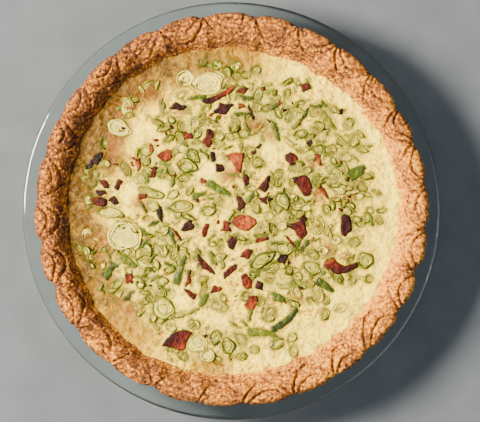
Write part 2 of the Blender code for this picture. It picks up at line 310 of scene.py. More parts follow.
def clear_glass():
    """Pressed soda-lime glass, clear with a faint green cast that shows where light runs along its edge."""
    made, _, shader = new_material("clear_pressed_glass", IOR=1.5, Roughness=0.015)
    give(shader, Base_Color=hex_to_linear("#EAF3EE"), Transmission_Weight=1.0)
    return made


def baked_pastry():
    """Egg-washed shortcrust, from pale gold to deep brown, with painted light in its colour: painted
    highlight where blisters and ridges stand proud, painted shade in cuts, creases and pits and on the side
    turned from the light.
    """
    made, tree, shader = new_material("baked_shortcrust", IOR=1.45, Specular_IOR_Level=0.25)
    place = add(tree, "TexCoord").outputs["Object"]
    toast_and_shade = add(tree, "Attribute", attribute_name="toast_and_shade").outputs["Fac"]
    # Browning comes in patches about 9 mm across, and in specks of about 1.8 mm where fat fried the flour.
    patches = add(tree, "TexNoise", {"Vector": place, "Scale": 1 / (9 * MM), "Detail": 4, "Roughness": 0.6})
    specks = add(tree, "TexNoise", {"Vector": place, "Scale": 1 / (1.8 * MM), "Detail": 3, "Roughness": 0.7})
    both = add(tree, "Math", {0: patches, 1: 0.5, 2: toast_and_shade}, operation="MULTIPLY_ADD")
    fine = add(tree, "Math", {0: specks, 1: 2.7, 2: both}, operation="MULTIPLY_ADD")
    level = add(tree, "Math", {0: fine, 1: -1.6}, operation="ADD")
    browning = [(0.0, "#EAA02A"), (0.2, "#B8701C"), (0.4, "#8B521D"), (0.6, "#653A1A"), (0.8, "#442513")]
    ramp = add(tree, "ValToRGB", {"Fac": level}, stops=browning + [(1.0, "#26150A")])
    # Crumb of about 1.1 mm, which the mesh is too coarse to carry
    crumb = add(tree, "TexNoise", {"Vector": place, "Scale": 1 / (1.1 * MM), "Detail": 4, "Roughness": 0.65})
    surface(tree, shader, ramp.outputs["Color"], specks, (0.6, 0.85), crumb, 1.0, 1.4 * MM)
    return made


def set_custard():
    """Set egg and cream: moist and wrinkled, with onion layers showing through and browning near its edge. On
    one side the crust's shadow is painted in with the browning. There is painted light on the other side and
    round the bacon, and painted shade round each piece.
    """
    made, tree, shader = new_material("set_egg_custard", IOR=1.4, Specular_IOR_Level=0.2)
    give(shader, Subsurface_Weight=0.06, Subsurface_Radius=(0.003, 0.002, 0.0008), Subsurface_Scale=1.0)
    place = add(tree, "TexCoord").outputs["Object"]
    haze = add(tree, "Attribute", attribute_name="leek_haze").outputs["Fac"]
    # Curds and cream mix in clouds of about 9 mm with flecks of about 2 mm, and melted cheese runs through
    # them in paler threads.
    clouds = add(tree, "TexNoise", {"Vector": place, "Scale": 1 / (9 * MM), "Detail": 5, "Roughness": 0.7})
    flecked = {"Vector": place, "Scale": 1 / (1.9 * MM), "Detail": 4, "Roughness": 0.75, "Distortion": 0.8}
    flecks = add(tree, "TexNoise", flecked)
    threads = add(tree, "Attribute", attribute_name="threads").outputs["Fac"]
    pale = add(tree, "Math", {0: threads, 1: 0.2, 2: clouds}, operation="MULTIPLY_ADD")
    mixed = add(tree, "Math", {0: flecks, 1: pale}, operation="ADD")
    level = add(tree, "Math", {0: mixed, 1: 1.8, 2: -1.33}, operation="MULTIPLY_ADD")
    curds = [(0.1, "#42301A"), (0.28, "#715720"), (0.45, "#A88828"), (0.59, "#DFB928"), (0.73, "#FFE22E")]
    base = add(tree, "ValToRGB", {"Fac": level}, stops=curds)
    # Leek juice turns some of it green and bacon fat some of it orange, in stains about 5 mm across.
    stains = add(tree, "TexNoise", {"Vector": place, "Scale": 1 / (5 * MM), "Detail": 4, "Roughness": 0.7})
    for low, high, colour in ((0.52, 0.68, "#C4D45C"), (0.48, 0.32, "#EEA84C")):
        stain = add(tree, "MapRange", {"Value": stains, "From Min": low, "From Max": high, "To Max": 0.8})
        mixing = {0: stain, 6: base, 7: hex_to_linear(colour)}
        base = add(tree, "Mix", mixing, data_type="RGBA", blend_type="MULTIPLY").outputs[2]
    # Haze, cream with painted light, two depths of browning with the crust's painted shadow, painted shade
    # round the pieces, and tan: the mesh places them and the flecks break them up.
    tints = [("leek_haze", "#B9B446"), ("cream", "#FFE94A"), ("golden_and_shadow", "#A2740E")]
    tints += [("toasted_and_shadow", "#4C320A"), ("contact_shade", "#474212"), ("tan", "#84501A")]
    uneven = add(tree, "Math", {0: flecks, 1: 2.2, 2: -0.2}, operation="MULTIPLY_ADD")
    for name, colour in tints:
        amount = add(tree, "Attribute", attribute_name=name).outputs["Fac"]
        share = add(tree, "Math", {0: amount, 1: uneven}, operation="MULTIPLY", use_clamp=True)
        mixing = {0: share, 6: base, 7: hex_to_linear(colour)}
        base = add(tree, "Mix", mixing, data_type="RGBA").outputs[2]
    # Onion layers under the skin: thin curved lines, olive where they come near it
    curved = {"Vector": place, "Scale": 1 / (12 * MM), "Detail": 1, "Roughness": 0.4, "Distortion": 1.6}
    layers = add(tree, "TexNoise", curved)
    waves = add(tree, "Math", {0: layers, 1: 18.0}, operation="MULTIPLY")
    ridges = add(tree, "Math", {0: waves, 1: 0.5}, operation="PINGPONG")
    line = add(tree, "MapRange", {"Value": ridges, "From Max": 0.16, "To Min": 1.0, "To Max": 0.0})
    broken = add(tree, "Math", {0: clouds, 1: 2.6, 2: -0.8}, operation="MULTIPLY_ADD", use_clamp=True)
    seen = add(tree, "Math", {0: haze, 1: 1.6, 2: 0.16}, operation="MULTIPLY_ADD", use_clamp=True)
    strength = add(tree, "Math", {0: broken, 1: seen}, operation="MULTIPLY")
    share = add(tree, "Math", {0: line, 1: strength}, operation="MULTIPLY")
    mixing = {0: share, 6: base, 7: hex_to_linear("#403C16")}
    base = add(tree, "Mix", mixing, data_type="RGBA").outputs[2]
    # Skin wrinkles about 1.5 mm apart, over the layers beneath
    wrinkled = {"Vector": place, "Scale": 1 / (1.5 * MM), "Detail": 5, "Roughness": 0.7, "Distortion": 0.6}
    wrinkle = add(tree, "TexNoise", wrinkled)
    swell = add(tree, "Math", {0: ridges, 1: seen}, operation="MULTIPLY")
    skin = add(tree, "Math", {0: swell, 1: 0.8, 2: wrinkle}, operation="MULTIPLY_ADD")
    surface(tree, shader, base, clouds, (0.14, 0.46), skin.outputs[0], 1.0, 0.7 * MM)
    return made


def fried_bacon():
    """Smoked streaky bacon, fried: glossy dark red lean, orange fat, and black where it caught."""
    made, tree, shader = new_material("fried_streaky_bacon", IOR=1.45, Specular_IOR_Level=0.14)
    give(shader, Subsurface_Weight=0.05, Subsurface_Radius=(0.002, 0.0008, 0.0005), Subsurface_Scale=1.0)
    place = add(tree, "TexCoord").outputs["Object"]
    tone = add(tree, "Attribute", attribute_name="tone").outputs["Fac"]
    # Muscle fibres about 1.1 mm apart, and blotches of fat about 4 mm across
    fibre = add(tree, "TexNoise", {"Vector": place, "Scale": 1 / (1.1 * MM), "Detail": 4, "Roughness": 0.7})
    blotch = add(tree, "TexNoise", {"Vector": place, "Scale": 1 / (4 * MM), "Detail": 3})
    varied = add(tree, "Math", {0: fibre, 1: 0.9, 2: tone}, operation="MULTIPLY_ADD")
    more = add(tree, "Math", {0: blotch, 1: 0.6, 2: varied}, operation="MULTIPLY_ADD")
    level = add(tree, "Math", {0: more, 1: -0.77}, operation="ADD")
    lean = [(0.0, "#0E0304"), (0.18, "#240806"), (0.36, "#3A0D07"), (0.55, "#541608")]
    fat = [(0.74, "#7E3210"), (0.9, "#A65A22"), (1.0, "#C6985E")]
    ramp = add(tree, "ValToRGB", {"Fac": level}, stops=lean + fat)
    surface(tree, shader, ramp.outputs["Color"], fibre, (0.35, 0.7), fibre, 0.9, 0.5 * MM)
    return made


def sliced_onion():
    """Softened spring onion and leek: wet, see-through white flesh under a green skin."""
    made, tree, shader = new_material("softened_green_onion", IOR=1.38, Specular_IOR_Level=0.3)
    give(shader, Subsurface_Weight=0.3, Subsurface_Radius=(0.002, 0.0025, 0.001), Subsurface_Scale=1.0)
    place = add(tree, "TexCoord").outputs["Object"]
    skin = add(tree, "Attribute", attribute_name="skin").outputs["Fac"]
    # Veins about 1.5 mm apart
    veins = add(tree, "TexNoise", {"Vector": place, "Scale": 1 / (1.5 * MM), "Detail": 3})
    level = add(tree, "Math", {0: veins, 1: 0.35, 2: skin}, operation="MULTIPLY_ADD")
    moved = add(tree, "Math", {0: level, 1: -0.175}, operation="ADD")
    flesh = [(0.0, "#F8E768"), (0.2, "#C8BA4C"), (0.38, "#868322")]
    leaf = [(0.56, "#596010"), (0.74, "#3D4B0A"), (1.0, "#222C05")]
    ramp = add(tree, "ValToRGB", {"Fac": moved}, stops=flesh + leaf)
    surface(tree, shader, ramp.outputs["Color"], veins, (0.32, 0.6), veins, 0.3, 0.2 * MM)
    return made


# ---- the dish


def inner_wall(height):
    """Inner radius of the dish's sloped wall at a height."""
    top = FLANGE_RADIUS - FLANGE_WIDTH
    bottom = HEEL_RADIUS - GLASS
    return bottom + (top - bottom) * (height - HEEL_HEIGHT) / (DISH_HEIGHT - HEEL_HEIGHT)


def corner(before, at, after, radius, steps):
    """Points that round one corner of an outline."""
    before, at, after = (np.array(p, float) for p in (before, at, after))
    start = at + (before - at) / np.linalg.norm(before - at) * radius
    end = at + (after - at) / np.linalg.norm(after - at) * radius
    shares = np.linspace(0, 1, steps + 1)[:, None]
    return list((1 - shares) ** 2 * start + 2 * shares * (1 - shares) * at + shares**2 * end)


def make_dish(material):
    """The glass dish, turned from a half-section whose corners are all rounded as pressing leaves them."""
    edge = GLASS / 2
    outer_top = inner_wall(DISH_HEIGHT - GLASS) + GLASS
    flange_in = FLANGE_RADIUS - FLANGE_WIDTH
    corners = [
        ((0, GLASS), 0),
        ((FOOT_RADIUS + 1 * MM, GLASS), 4 * MM),
        ((inner_wall(DISH_HEIGHT - LIP) + 1.2 * MM, DISH_HEIGHT), 2 * MM),
        ((FLANGE_RADIUS, DISH_HEIGHT), edge * 0.98),
        ((FLANGE_RADIUS, DISH_HEIGHT - GLASS), edge * 0.98),
        ((outer_top, DISH_HEIGHT - GLASS), 3 * MM),
        ((FOOT_RADIUS + 3.5 * MM, 0), 4 * MM),
        ((0, 0), 0),
    ]
    profile = [corners[0][0]]
    for k in range(1, len(corners) - 1):
        profile += corner(corners[k - 1][0], corners[k][0], corners[k + 1][0], corners[k][1], 6)
    profile.append(corners[-1][0])
    mesh = bpy.data.meshes.new("dish_glass")
    points = [(float(r), 0, float(z)) for r, z in profile]
    mesh.from_pydata(points, [(i, i + 1) for i in range(len(points) - 1)], [])
    piece = bpy.data.objects.new("dish_glass", mesh)
    bpy.context.scene.collection.objects.link(piece)
    merging = {"use_merge_vertices": True, "merge_threshold": 0.01 * MM}
    apply_modifier(piece, "SCREW", steps=192, render_steps=192, **merging)
    weld(piece.data)
    return finish(piece, material, ["glass_dish"], sharp=75)


# ---- the pastry


def edge_wander(turn):
    """How far the hand-shaped edge strays from a circle. Turns run clockwise from +Y."""
    return (0.5 * np.cos(turn - 0.2) + 0.3 * np.cos(3 * turn + 0.3)) * MM


def fill_radius(turn):
    """Where the custard meets the pastry: a line with broad bends and small dents."""
    bends = 1.3 * np.cos(3 * turn - 4.45) + np.cos(2 * turn - math.pi)
    dents = 0.5 * np.sin(17 * turn + 1) + 0.4 * np.sin(29 * turn + 2) + 0.3 * np.sin(43 * turn)
    return FILL_RADIUS + (bends + dents) * MM


def make_stamps():
    """Where the stamps meet, how each differs (sideways slip, size, inner size and force), and each notch's
    depth and ridge."""
    marks = FIRST_NOTCH + np.radians(np.concatenate([[0], np.cumsum(STAMP_WIDTHS)]))
    habits = []
    for k in range(STAMPS):
        force = rng.uniform(0.8, 1.1) * FAINT_STAMPS.get(k, 1.0)
        habits.append((rng.uniform(-0.09, 0.09), rng.uniform(0.94, 1.06), rng.uniform(0.88, 1.1), force))
    dips = [DEEP_NOTCHES.get(k, rng.uniform(0.1, 0.8)) for k in range(STAMPS)]
    ridges = [TALL_RIDGES.get(k, rng.uniform(0.3, 0.7)) for k in range(STAMPS)]
    return marks, np.array(habits), np.array(dips + dips[:1]), np.array(ridges + ridges[:1])


def stamp_at(turn):
    """The stamp at each turn, and the place in it from -1 to 1."""
    wrapped = (turn - FIRST_NOTCH) % (2 * math.pi) + FIRST_NOTCH
    index = np.clip(np.searchsorted(MARKS, wrapped, side="right") - 1, 0, STAMPS - 1)
    half = (MARKS[index + 1] - MARKS[index]) / 2
    return index, (wrapped - MARKS[index] - half) / half, half * CRUST_RADIUS


def inside_arc(place, depth_in, depth, share, half):
    """Distance inside a stamped arc, negative outside it."""
    along = np.abs(place / share)
    steep = depth * ARC_POWER * along ** (ARC_POWER - 1) / (half * share)
    return (depth * (1 - along**ARC_POWER) - depth_in) / np.sqrt(1 + steep**2)


def stamp_relief(turn, depth_in, warp):
    """Height that the stamps add at a turn and a distance in from the edge, and how deep the cut is there."""
    index, place, half = stamp_at(turn)
    slip, size, inner_size, force = HABITS[index].T
    to_notch = (1 - np.abs(place)) * half
    ridge_height = np.where(place < 0, RIDGES[index], RIDGES[index + 1])
    place = place + slip * (1 - place**2) + 0.06 * warp[0] * (1 - place**2)
    depth_in = depth_in + 0.8 * MM * warp[1]
    outer = inside_arc(place, depth_in, OUTER_DEPTH * size, 1, half)
    inner = inside_arc(place, depth_in, INNER_DEPTH * inner_size, INNER_SHARE, half)
    fade = force * np.clip(0.85 + 0.8 * warp[2], 0.15, 1.15)
    groove_outer = fade * np.clip(1 - np.abs(outer) / OUTER_GROOVE, 0, 1) ** 1.4
    groove_inner = fade * np.clip(1 - np.abs(inner) / INNER_GROOVE, 0, 1) ** 1.4 * smooth(outer, 0, 0.8 * MM)
    lens = np.where(inner > 0, 1 - np.exp(-np.clip(inner, 0, None) / (1.6 * MM)), 0)
    width = np.clip(outer, 0, None) + np.clip(-inner, 0, None)
    crescent = 2 * np.sqrt(np.clip(outer, 0, None) * np.clip(-inner, 0, None)) / (width + 1e-9)
    crescent = np.where((outer > 0) & (inner < 0), crescent * np.clip(width / (5 * MM), 0.3, 1), 0)
    bank = smooth(-outer, 0, 1.4 * MM)
    ridge = bank * ridge_height * np.exp(-to_notch / (2.4 * MM))
    grooves = np.maximum(groove_outer, groove_inner)
    relief = (0.8 * lens + 0.8 * crescent) * (0.5 + 0.5 * fade) + 0.6 * bank + ridge
    return relief * MM - GROOVE_DEPTH * grooves, smooth(grooves, 0.5, 1.0)


def pastry_top(radius, fill, edge):
    """Height of the pastry before it is stamped: steep out of the filling, then easing to a crest."""
    climb = np.clip((radius - fill) / (edge - CREST_SETBACK - fill), 0, 1)
    return FILL_HEIGHT + (CREST - FILL_HEIGHT) * (1 - (1 - climb) ** 1.8)


def pastry_section(turn):
    """Radius, height and whether it shows, for each row of the pastry, from its inner floor to its outer."""
    index, place, _ = stamp_at(turn)
    dip = np.where(place < 0, DIPS[index], DIPS[index + 1])
    valley = np.exp(-(((1 - np.abs(place)) / 0.33) ** 2))
    edge = CRUST_RADIUS + edge_wander(turn) + (0.5 * (1 - place**2) - dip * valley) * MM
    fill = fill_radius(turn)
    one = np.ones_like(turn)
    floor = GLASS + PASTRY
    # The inner floor and wall, which the custard hides
    rows = [
        (0 * one, floor * one, 0),
        (76 * MM * one, floor * one, 0),
        (82 * MM * one, floor + 3 * MM * one, 0),
        (fill - 7 * MM, (FILL_HEIGHT - 10 * MM) * one, 0),
        (fill - 1 * MM, (FILL_HEIGHT - 2 * MM) * one, 0),
    ]
    for k in range(TOP_ROWS):
        radius = fill + (edge - ROLL - fill) * k / TOP_ROWS
        rows.append((radius, pastry_top(radius, fill, edge), 1))
    crown = CREST - 0.5 * MM
    centre = crown - ROLL
    low = math.asin((DISH_HEIGHT - centre) / ROLL)
    for k in range(ROLL_ROWS):
        lean = math.pi / 2 + (low - math.pi / 2) * k / (ROLL_ROWS - 1)
        ease = 0.5 * MM * (1 - k / (ROLL_ROWS - 1)) ** 2
        rows.append((edge - ROLL + ROLL * math.cos(lean), (centre + ROLL * math.sin(lean) + ease) * one, 1))
    rest = DISH_HEIGHT - INTO_GLASS
    rows += [(edge - 1.6 * MM, rest * one, 0), ((FLANGE_RADIUS - FLANGE_WIDTH + LIP) * one, rest * one, 0)]
    for height in (DISH_HEIGHT - LIP, DISH_HEIGHT * 0.72, DISH_HEIGHT * 0.46, HEEL_HEIGHT + 1 * MM):
        rows.append(((inner_wall(height) + INTO_GLASS) * one, height * one, 0))
    rows += [(FOOT_RADIUS * one, (GLASS - INTO_GLASS) * one, 0), (0 * one, (GLASS - INTO_GLASS) * one, 0)]
    return rows, edge, fill


def make_pastry(material):
    """The pastry: one sheet lining the dish's floor and wall, with a thick stamped edge on the flange."""
    columns = np.linspace(0, 2 * math.pi, CRUST_COLUMNS + 1)
    sections, edge, fill = pastry_section(columns)
    piece, across, along = sheet("baked_pastry", CRUST_COLUMNS, len(sections) - 1)
    column = np.rint(across * CRUST_COLUMNS).astype(int)
    row = np.rint(along * (len(sections) - 1)).astype(int)
    radius = np.array([s[0] for s in sections])[row, column]
    height = np.array([s[1] for s in sections])[row, column]
    shown = np.array([s[2] for s in sections])[row]
    turn, edge, fill = columns[column], edge[column], fill[column]
    points = np.stack([radius * np.sin(turn), radius * np.cos(turn), height], 1)

    warp = [rough(points, 8 * MM, 2, 31.0), rough(points, 6 * MM, 2, 37.0), rough(points, 9 * MM, 2, 41.0)]
    relief, cuts = stamp_relief(turn, np.maximum(edge - radius, 0), warp)
    lean = np.clip((radius - (edge - ROLL)) / ROLL, 0, 1)
    patchy = smooth(rough(points, 11 * MM, 2, 9.0), -0.25, 0.5)
    grain = rough(points, 1.5 * MM, 3, 5.0)
    flakes = blisters(points, 2.1 * MM)
    pits = smooth(rough(points, 1.9 * MM, 2, 15.0), 0.3, 0.65) * (0.25 + 0.75 * patchy)
    folds = rough(np.stack([turn * 110 * MM, radius * 0.35, np.zeros_like(turn)], 1), 3.4 * MM, 2, 23.0)
    slope = 1 - smooth(radius, fill + 3 * MM, fill + 7 * MM)
    crumbs = rough(points, 6 * MM, 3) * 0.6 + grain * (0.22 + 0.2 * patchy) + flakes * (0.15 + 0.4 * patchy)
    crumbs += folds * (0.15 + 0.5 * slope) - 0.8 * pits
    inside = smooth(radius, fill + 0.5 * MM, fill + 4 * MM)
    under = smooth(height, DISH_HEIGHT + 0.2 * MM, DISH_HEIGHT + 2 * MM)
    under = np.where(radius > edge - ROLL, under, 1)
    swell = shown * under * (relief * inside + crumbs * MM * (0.8 + 0.2 * inside))
    radius = radius + swell * lean * 0.6
    height = height + swell * np.sqrt(1 - lean**2)
    over = np.clip(height - (CREST_LIMIT - 1 * MM), 0, None)
    height = height - over + MM * (1 - np.exp(-over / MM))
    write_points(piece.data, np.stack([radius * np.sin(turn), radius * np.cos(turn), height], 1))

    # One side is painted darker, for browning and as painted shade where it turns from the light. The foot of
    # the slope stays pale. Cuts are painted darker, for browning and as painted shade. Pits are painted
    # darker as painted shade, and what stands proud is painted paler as painted highlight.
    brown_and_shaded_side = 0.5 + 0.5 * np.cos(turn - BROWNEST_AND_SHADED)
    second_dark_side = np.clip(np.cos(turn - SECOND_DARK_SIDE), 0, 1)
    toast_and_shade = 0.28 + 0.24 * brown_and_shaded_side + 0.05 * second_dark_side + 0.16 * rough(points, 13 * MM, 3, 3.0) + 0.12 * cuts
    foot = 1 - smooth(radius, fill + 0.5 * MM, fill + 3.5 * MM)
    # Painted shade: on the side turned from the light, the inner slope is painted darker still.
    on_slope = slope * (0.2 * brown_and_shaded_side**1.5 + 0.05 * second_dark_side - 0.03)
    toast_and_shade += 0.12 * smooth(radius, edge - 2.0 * MM, edge) + on_slope - 0.16 * foot
    # Painted highlight on what stands proud, and painted shade in the pits
    proud = 0.12 * flakes * patchy + 0.08 * np.clip(relief, 0, MM) / MM + 0.06 * grain + 0.05 * folds
    toast_and_shade += 0.2 * pits - proud
    wall = 0.04 + 0.14 * rough(points, 16 * MM, 3, 43.0) + 0.1 * smooth(height, 12 * MM, DISH_HEIGHT)
    paint(piece.data, "toast_and_shade", np.where(shown > 0, toast_and_shade, wall))
    weld(piece.data)
    return finish(piece, material, ["pastry_crust"])


# ---- the custard


def custard_top(x, y):
    """Height of the custard's set top: a low dome with the broad swells of its baking."""
    share = np.hypot(x, y) / FILL_RADIUS
    swell = 0.35 * np.sin(x / (13 * MM) + 0.7) * np.cos(y / (17 * MM)) * (1 - share**4)
    return FILL_HEIGHT + DOME * (1 - share**2) + swell * MM


def nearest(points, x, y):
    """Distance in plan from each place to the nearest of some points."""
    tree = kdtree.KDTree(len(points))
    for k, (a, b) in enumerate(points):
        tree.insert((a, b, 0), k)
    tree.balance()
    return np.array([tree.find((a, b, 0))[2] for a, b in zip(x, y)])


# On the custard, x, y and reach in mm of: tan patches, golden ones, where onion lies thick, and bare places
BROWNED = [
    (-67, 38, 6), (15, 50, 5), (0, 21, 6), (-54, 4, 5), (-58, -57, 6), (56, -21, 3.5),
    (-74, -20, 8), (-50, 70, 7), (-62, 60, 5), (22, 42, 4), (-17, 16, 2), (50, 9, 3.5),
    (47, 26, 3), (39, -50, 2.5), (-30, 58, 3), (70, 10, 2.5),
]
GOLDEN = [
    (-68, 42, 9), (-33, 80, 10), (-48, 70, 9), (-71, 30, 9), (-12, -92, 9), (-80, 5, 9),
    (-83, -14, 9), (-84, 27, 9), (-57, -69, 9), (-72, 56, 8),
]
THICK = [
    (19, 64, 17), (58, 35, 20), (-78, -22, 12), (-42, -32, 17), (-10, -82, 18), (-42, -55, 13),
    (-8, 86, 9), (-62, 61, 8), (-80, 22, 8), (36, 50, 12), (30, -30, 18), (50, -40, 13),
    (32, 6, 12), (77, 0, 10), (-20, 42, 12), (-45, 25, 12), (5, -5, 12),
]
BARE = [
    (-57, 45, 11), (42, -68, 8), (-30, -52, 7), (-31, 80, 8), (-15, 24, 10), (21, 37, 7),
    (60, -58, 18), (13, -79, 6), (-60, -64, 10), (86, -14, 9), (26, 82, 11), (-42, 10, 8),
    (-60, 10, 7), (82, 30, 8), (-5, -62, 6),
]


def gather(x, y, spots):
    """How far a place in mm lies within some round spots: 1 at the middle of one, 0 away from all."""
    reach = 0 * x
    for a, b, size in spots:
        reach = np.maximum(reach, np.exp(-((x - a) ** 2 + (y - b) ** 2) / size**2))
    return reach


def spread_near(distance, reach):
    """1 at a topping's edge, falling to 0 a little way from it."""
    return np.exp(-((distance / reach) ** 2))


def make_custard(material, meat, leaves):
    """The custard: a wrinkled top that stands up in a lip round each piece set in it."""
    piece, across, along = sheet("set_custard", CUSTARD_CELLS, CUSTARD_CELLS)
    u, v = 2 * across - 1, 2 * along - 1
    x, y = u * np.sqrt(1 - v * v / 2), v * np.sqrt(1 - u * u / 2)
    turn = np.arctan2(x, y)
    share = np.hypot(x, y)
    flat = np.stack([x, y, np.zeros_like(x)], 1) * FILL_RADIUS
    ragged = rough(flat, 9 * MM, 3, 51.0) * smooth(share, 0.8, 1)
    reach = fill_radius(turn) + 1.2 * MM
    x, y = x * reach, y * reach
    flat = np.stack([x, y, np.zeros_like(x)], 1)
    bend = np.stack([rough(flat, 14 * MM, 2, 61.0), rough(flat, 14 * MM, 2, 67.0), np.zeros_like(x)], 1)
    threads = 1 - np.abs(rough(flat + bend * 6 * MM, 5.5 * MM, 3, 7.0)) * 2.2
    to_meat, to_leaf = nearest(meat, x, y), nearest(leaves, x, y)
    lip = np.exp(-(((to_meat - 0.7 * MM) / (0.6 * MM)) ** 2))
    bed = np.exp(-((to_leaf / (2.2 * MM)) ** 2))
    ruffle = rough(flat, 9 * MM, 3, 2.0) * 0.5 * MM + np.clip(threads, 0, 1) * 0.4 * MM
    curds = 1 - 0.6 * gather(x / MM, y / MM, BARE)
    ruffle += (rough(flat, 1.9 * MM, 2, 71.0) * 0.2 + rough(flat, 3.4 * MM, 2, 77.0) * 0.5 * curds) * MM
    rim = smooth(share, 0.9, 0.97) * (1 - smooth(share, 0.97, 1.0))
    height = custard_top(x, y) + ruffle + lip * 0.45 * MM + bed * 0.2 * MM - 0.3 * MM
    height += (rim * 0.5 + ragged * 1.1 - smooth(share, 0.985, 1.0) * 0.2) * MM
    write_points(piece.data, np.stack([x, y, height], 1))

    edge_band = smooth(share, 0.72, 0.98)
    shaded_brown_side = np.clip(np.cos(turn - SHADED_BROWN_SIDE), 0, 1)
    lit_pale_side = np.clip(np.cos(turn - LIT_PALE_SIDE), 0, 1)
    cloud = rough(flat, 14 * MM, 4, 4.0)
    at_x, at_y = (x + bend[:, 0] * 3 * MM) / MM, (y + bend[:, 1] * 3 * MM) / MM
    thick, bare = gather(at_x, at_y, THICK), gather(at_x, at_y, BARE)
    # Painted shadow: on the custard's shaded side, the crust's shadow is painted into the golden and toasted
    # tints together with its browning.
    golden_and_shadow = np.maximum(smooth(share, 0.76, 0.93) * shaded_brown_side**0.5, 0.8 * gather(at_x, at_y, GOLDEN))
    # Painted light: cream is laid on the side facing the light, and as a painted highlight on the lip round
    # each bacon piece. In bare places it is the custard's own colour.
    cream = np.maximum(edge_band * lit_pale_side**0.6 * (0.9 + 0.4 * cloud), 0.8 * lip)
    paint(piece.data, "threads", threads)
    paint(piece.data, "golden_and_shadow", golden_and_shadow * (1.7 + 0.8 * cloud))
    paint(piece.data, "toasted_and_shadow", golden_and_shadow * shaded_brown_side * (1.5 + 1.2 * rough(flat, 8 * MM, 3, 83.0)))
    paint(piece.data, "cream", np.maximum(cream, bare * (0.8 + 0.7 * cloud)))
    # Painted shade round each onion and bacon piece where it meets the custard
    paint(piece.data, "contact_shade", spread_near(to_leaf, 0.8 * MM) * 0.8 + spread_near(to_meat, 0.8 * MM) * 0.6)
    paint(piece.data, "tan", gather(at_x, at_y, BROWNED))
    paint(piece.data, "leek_haze", (0.5 * bed + 0.5 * thick) * (1 - 0.75 * bare) * (0.85 + 0.7 * cloud))

    bm = bmesh.new()
    bm.from_mesh(piece.data)
    skirt = [e for e in bm.edges if e.is_boundary]
    for drop, tuck in ((3 * MM, 1.0), (FILL_HEIGHT - GLASS - PASTRY - 1.5 * MM, 0.84)):
        made = bmesh.ops.extrude_edge_only(bm, edges=skirt)["geom"]
        for vert in (g for g in made if isinstance(g, bmesh.types.BMVert)):
            vert.co.x *= tuck
            vert.co.y *= tuck
            vert.co.z = FILL_HEIGHT - drop
        skirt = [g for g in made if isinstance(g, bmesh.types.BMEdge)]
    bmesh.ops.holes_fill(bm, edges=skirt)
    bmesh.ops.recalc_face_normals(bm, faces=bm.faces)
    bm.to_mesh(piece.data)
    bm.free()
    return finish(piece, material, ["egg_custard"])


# ---- the toppings


def lie_of(points):
    """Middle, length, width and turn of a flat piece, from the spread of its points."""
    flat = points[:, :2]
    middle = (flat.min(0) + flat.max(0)) / 2
    _, axes = np.linalg.eigh(np.cov((flat - flat.mean(0)).T))
    long_way = axes[:, 1]
    spread = (flat - middle) @ axes
    width, length = spread.max(0) - spread.min(0)
    return middle, length, width, math.atan2(long_way[1], long_way[0])


def numbered(kind, looks):
    """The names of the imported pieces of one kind, each with its look."""
    return [(f"{kind}_{k:02d}", look) for k, look in enumerate(looks, 1)]


def copy_of_node(name, node):
    """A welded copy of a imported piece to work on."""
    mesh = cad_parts[node].data.copy()
    mesh.name = name
    weld(mesh)
    piece = bpy.data.objects.new(name, mesh)
    bpy.context.scene.collection.objects.link(piece)
    return piece


def settle(points, sink):
    """Lets a piece down onto the custard, with its underside sunk in it."""
    below = custard_top(points[:, 0], points[:, 1])
    points[:, 2] += np.median(below - points[:, 2].min()) - sink
    return points


def chop(piece, voxel, wobble, sink):
    """Turns a plain solid into a cut piece: fine mesh, torn outline, uneven top, half sunk in the custard."""
    apply_modifier(piece, "REMESH", mode="VOXEL", voxel_size=voxel)
    points = read_points(piece.data)
    middle = (points.min(0) + points.max(0)) / 2
    tear = np.stack([rough(points, 4.5 * MM, 3, s) for s in (1.0, 20.0)], 1)
    points[:, :2] += tear * wobble
    level = smooth(points[:, 2], points[:, 2].min(), points[:, 2].max())
    points[:, 2] += rough(points, 2.5 * MM, 3, 13.0) * 0.45 * MM * level
    write_points(piece.data, settle(points, sink))
    return points, middle


def rim_of(points, middle, length):
    """1 at a piece's outline and 0 towards its middle."""
    away = np.hypot(points[:, 0] - middle[0], points[:, 1] - middle[1])
    return smooth(away, 0.2 * length, 0.55 * length)


# How each packed bacon piece is cooked, in order: tone from 0, burnt, to 1, pale fat, then how much darker or
# lighter it grows across itself, and the direction in degrees in which it lightens.
BACON_TONES = [
    (0.42, 0.5, -50), (0.45, 0.45, 110), (0.42, 0.12, 0), (0.42, 0.12, -60), (0.22, 0.05, -90),
    (0.78, 0.1, 0), (0.45, 0.35, 20), (0.45, 0.1, -90), (0.66, 0.15, 40), (0.36, 0.15, 180),
    (0.72, 0.15, 90), (0.4, 0.1, 0), (0.38, 0.1, 0), (0.3, 0.1, -60), (0.18, 0.1, 0),
    (0.25, 0.1, 90), (0.34, 0.1, 45), (0.6, 0.15, -60), (0.68, 0.15, -100), (0.42, 0.2, -60),
]


def cook(mesh, points, middle, length, tone, gain, direction):
    """Paints a bacon piece's tone: its own, lighter one way, darker along its rim."""
    heading = math.radians(direction)
    along = (points[:, 0] - middle[0]) * math.cos(heading) + (points[:, 1] - middle[1]) * math.sin(heading)
    shade = tone + gain * along / (0.5 * length) - 0.16 * rim_of(points, middle, length)
    paint(mesh, "tone", shade + 0.08 * rough(points, 3 * MM, 2, 4.0))


def make_bacon(material):
    for node, (tone, gain, direction) in numbered("bacon", BACON_TONES):
        piece = copy_of_node("fried_" + node, node)
        points, middle = chop(piece, voxel=0.33 * MM, wobble=0.5 * MM, sink=1.1 * MM)
        _, length, _, _ = lie_of(points)
        cook(piece.data, points, middle, length, tone, gain, direction)
        yield finish(piece, material, [node])


